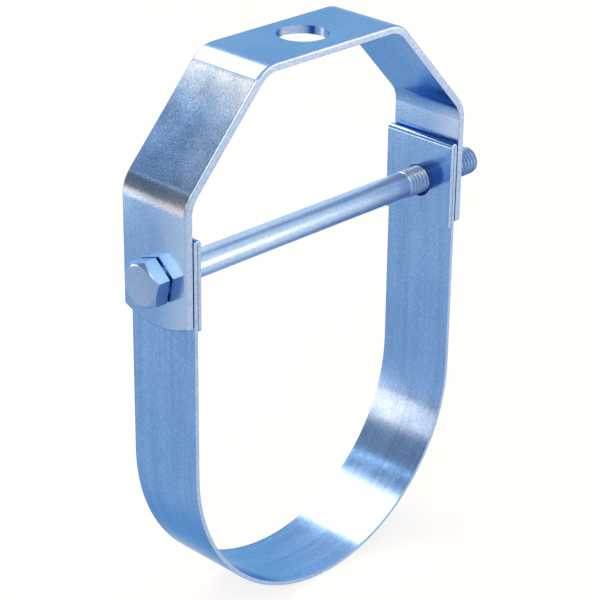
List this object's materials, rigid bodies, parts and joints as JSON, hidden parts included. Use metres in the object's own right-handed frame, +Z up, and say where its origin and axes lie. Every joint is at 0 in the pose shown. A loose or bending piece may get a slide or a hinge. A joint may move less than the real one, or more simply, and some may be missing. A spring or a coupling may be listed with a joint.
{
  "type": "clevis pipe hanger",
  "caption": "Clevis pipe hanger: bent-bar yoke with a rod hole, U-shaped strap that cradles a pipe, and a cross bolt with nut that lets the strap swing.",
  "frame": {"origin": "centre of the rod hole on the yoke's flat top face", "axes": "+Z up along the hanger rod, +X along the cross bolt from its head to its nut, +Y along the pipe"},
  "size_m": [0.152, 0.0286, 0.1883],
  "materials": {
    "yoke_zinc": "bright zinc plate",
    "strap_zinc": "bright zinc plate, faint rolling streaks",
    "bolt_zinc": "bright zinc plate, grainy",
    "nut_zinc": "bright zinc plate"
  },
  "bodies": {
    "yoke": {"yoke": "yoke_zinc"},
    "u_strap": {"u_strap": "strap_zinc"},
    "cross_bolt": {"cross_bolt": "bolt_zinc"},
    "hex_nut": {"hex_nut": "nut_zinc"}
  },
  "joints": [
    {"name": "strap_swing", "type": "hinge", "parent": "yoke", "child": "u_strap", "pos_m": [0, 0, -0.064], "axis": [1, 0, 0], "range_deg": [-120, 120]},
    {"name": "bolt_turn", "type": "hinge", "parent": "yoke", "child": "cross_bolt", "pos_m": [0, 0, -0.064], "axis": [1, 0, 0], "continuous": true},
    {"name": "nut_turn", "type": "hinge", "parent": "cross_bolt", "child": "hex_nut", "pos_m": [0.0673, 0, -0.064], "axis": [1, 0, 0], "continuous": true}
  ]
}
